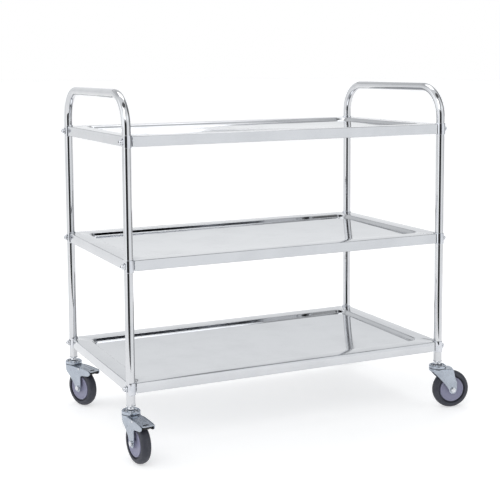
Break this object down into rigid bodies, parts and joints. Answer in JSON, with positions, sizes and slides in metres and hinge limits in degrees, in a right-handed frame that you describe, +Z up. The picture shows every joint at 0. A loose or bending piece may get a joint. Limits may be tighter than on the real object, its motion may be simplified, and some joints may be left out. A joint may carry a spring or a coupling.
{
  "type": "food service trolley",
  "caption": "Stainless food service trolley: tray shelves with raised rims between two bent tube end frames with push handles, rolling on swivel casters with foot brakes at one end.",
  "frame": {"origin": "on the floor, at the middle of the wheels' footprint with the casters parked as modelled", "axes": "+X along the trolley, from the braked end towards the other push handle; +Y across it, away from the side it is served from; +Z up"},
  "size_m": [1.0024, 0.6614, 0.888],
  "materials": {
    "tube_steel": "mirror polished stainless tube",
    "sheet_steel": "bright annealed stainless sheet, fine grain along the shelf",
    "chrome": "bright plated pressing",
    "bolt_steel": "bright turned steel",
    "insert_metal": "bright plated plug",
    "zinc_plate": "pressed steel, blue zinc plated, satin",
    "pedal_plate": "pressed steel, zinc plated, worn bright where a foot treads",
    "core_plastic": "moulded grey plastic, fine texture",
    "tyre_rubber": "dark grey thermoplastic rubber, satin with dust",
    "pad_rubber": "matt black rubber"
  },
  "bodies": {
    "trolley": {"end_frame_left": "tube_steel", "end_frame_right": "tube_steel", "shelf_top": "sheet_steel", "shelf_middle": "sheet_steel", "shelf_bottom": "sheet_steel", "saddle_top_front_left": "chrome", "cap_bolt_top_front_left": "bolt_steel", "saddle_top_rear_left": "chrome", "cap_bolt_top_rear_left": "bolt_steel", "saddle_top_front_right": "chrome", "cap_bolt_top_front_right": "bolt_steel", "saddle_top_rear_right": "chrome", "cap_bolt_top_rear_right": "bolt_steel", "saddle_middle_front_left": "chrome", "cap_bolt_middle_front_left": "bolt_steel", "saddle_middle_rear_left": "chrome", "cap_bolt_middle_rear_left": "bolt_steel", "saddle_middle_front_right": "chrome", "cap_bolt_middle_front_right": "bolt_steel", "saddle_middle_rear_right": "chrome", "cap_bolt_middle_rear_right": "bolt_steel", "saddle_bottom_front_left": "chrome", "cap_bolt_bottom_front_left": "bolt_steel", "saddle_bottom_rear_left": "chrome", "cap_bolt_bottom_rear_left": "bolt_steel", "saddle_bottom_front_right": "chrome", "cap_bolt_bottom_front_right": "bolt_steel", "saddle_bottom_rear_right": "chrome", "cap_bolt_bottom_rear_right": "bolt_steel", "leg_insert_front_left": "insert_metal", "caster_stem_front_left": "zinc_plate", "leg_insert_rear_left": "insert_metal", "caster_stem_rear_left": "zinc_plate", "leg_insert_front_right": "insert_metal", "caster_stem_front_right": "zinc_plate", "leg_insert_rear_right": "insert_metal", "caster_stem_rear_right": "zinc_plate"},
    "caster_front_left": {"caster_fork_front_left": "zinc_plate", "caster_axle_front_left": "bolt_steel", "brake_pin_front_left": "bolt_steel"},
    "wheel_front_left": {"wheel_core_front_left": "core_plastic", "tyre_front_left": "tyre_rubber"},
    "pedal_front_left": {"brake_pedal_front_left": "pedal_plate", "brake_pad_front_left": "pad_rubber"},
    "caster_rear_left": {"caster_fork_rear_left": "zinc_plate", "caster_axle_rear_left": "bolt_steel", "brake_pin_rear_left": "bolt_steel"},
    "wheel_rear_left": {"wheel_core_rear_left": "core_plastic", "tyre_rear_left": "tyre_rubber"},
    "pedal_rear_left": {"brake_pedal_rear_left": "pedal_plate", "brake_pad_rear_left": "pad_rubber"},
    "caster_front_right": {"caster_fork_front_right": "zinc_plate", "caster_axle_front_right": "bolt_steel"},
    "wheel_front_right": {"wheel_core_front_right": "core_plastic", "tyre_front_right": "tyre_rubber"},
    "caster_rear_right": {"caster_fork_rear_right": "zinc_plate", "caster_axle_rear_right": "bolt_steel"},
    "wheel_rear_right": {"wheel_core_rear_right": "core_plastic", "tyre_rear_right": "tyre_rubber"}
  },
  "joints": [
    {"name": "swivel_front_left", "type": "hinge", "parent": "trolley", "child": "caster_front_left", "pos_m": [-0.47993, -0.2375, 0.11], "axis": [0, 0, 1], "continuous": true},
    {"name": "wheel_spin_front_left", "type": "hinge", "parent": "caster_front_left", "child": "wheel_front_left", "pos_m": [-0.47596, -0.27529, 0.051], "axis": [-0.9945, -0.1045, 0], "continuous": true},
    {"name": "brake_front_left", "type": "hinge", "parent": "caster_front_left", "child": "pedal_front_left", "pos_m": [-0.47533, -0.28126, 0.106], "axis": [0.9945, 0.1045, 0], "range_deg": [0, 7]},
    {"name": "swivel_rear_left", "type": "hinge", "parent": "trolley", "child": "caster_rear_left", "pos_m": [-0.47993, 0.2375, 0.11], "axis": [0, 0, 1], "continuous": true},
    {"name": "wheel_spin_rear_left", "type": "hinge", "parent": "caster_rear_left", "child": "wheel_rear_left", "pos_m": [-0.46569, 0.20227, 0.051], "axis": [-0.9272, -0.3746, 0], "continuous": true},
    {"name": "brake_rear_left", "type": "hinge", "parent": "caster_rear_left", "child": "pedal_rear_left", "pos_m": [-0.46345, 0.1967, 0.106], "axis": [0.9272, 0.3746, 0], "range_deg": [0, 7]},
    {"name": "swivel_front_right", "type": "hinge", "parent": "trolley", "child": "caster_front_right", "pos_m": [0.41007, -0.2375, 0.11], "axis": [0, 0, 1], "continuous": true},
    {"name": "wheel_spin_front_right", "type": "hinge", "parent": "caster_front_right", "child": "wheel_front_right", "pos_m": [0.44724, -0.2454, 0.051], "axis": [-0.2079, -0.9781, 0], "continuous": true},
    {"name": "swivel_rear_right", "type": "hinge", "parent": "trolley", "child": "caster_rear_right", "pos_m": [0.41007, 0.2375, 0.11], "axis": [0, 0, 1], "continuous": true},
    {"name": "wheel_spin_rear_right", "type": "hinge", "parent": "caster_rear_right", "child": "wheel_rear_right", "pos_m": [0.41404, 0.27529, 0.051], "axis": [0.9945, -0.1045, 0], "continuous": true}
  ]
}
